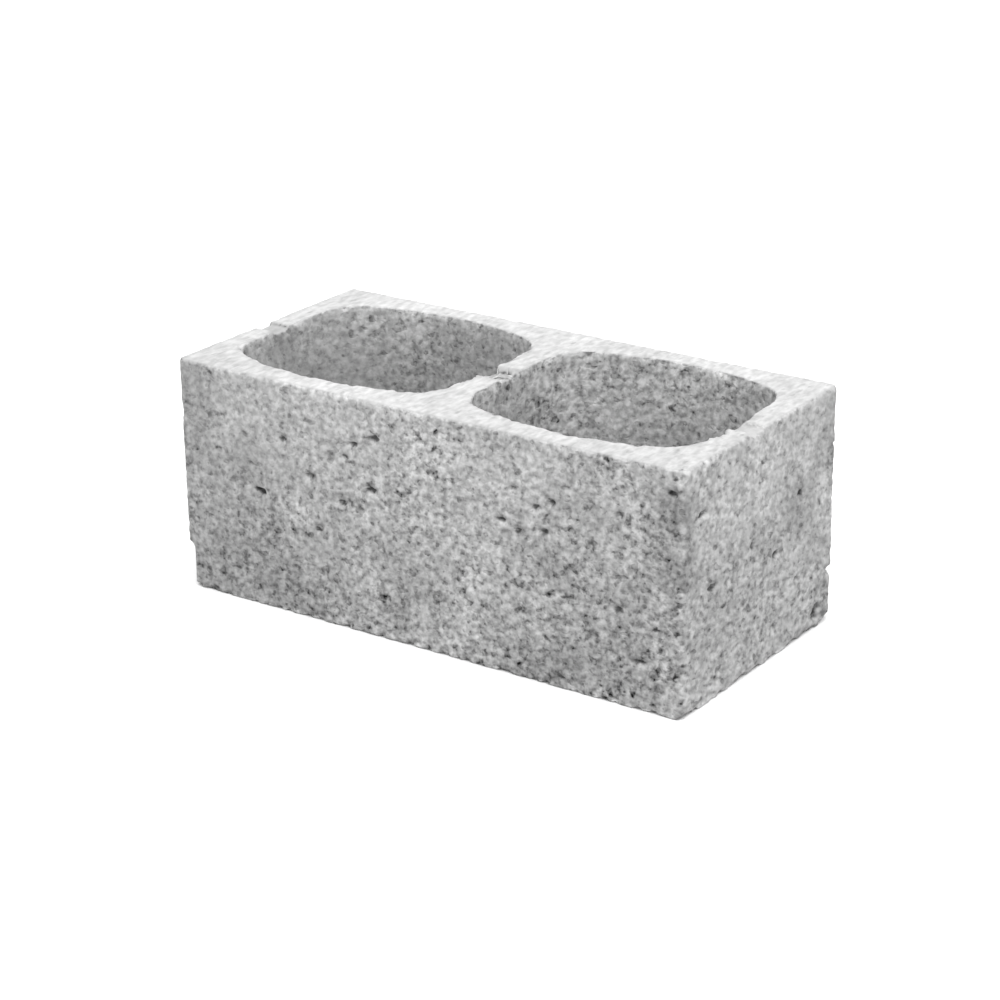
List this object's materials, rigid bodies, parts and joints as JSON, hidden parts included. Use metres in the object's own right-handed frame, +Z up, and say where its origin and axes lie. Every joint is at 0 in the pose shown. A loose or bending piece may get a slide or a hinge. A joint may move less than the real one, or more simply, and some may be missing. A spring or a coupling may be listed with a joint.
{
  "type": "hollow concrete block",
  "caption": "Hollow concrete masonry block with flat ends, barrel-shaped tapered core holes and a shallow core-bar groove across its webs.",
  "frame": {"origin": "middle of the lower bed face, on the floor that the block stands on", "axes": "+X along the block's length, +Y across it from face shell to face shell, +Z up, from the lower bed to the grooved upper bed"},
  "size_m": [0.39, 0.19, 0.162],
  "materials": {
    "concrete": "raw dense concrete, dry and pale grey, with a close sandy grain, small open pores and slightly ragged arrises"
  },
  "bodies": {
    "root": {"block": "concrete"}
  },
  "joints": []
}
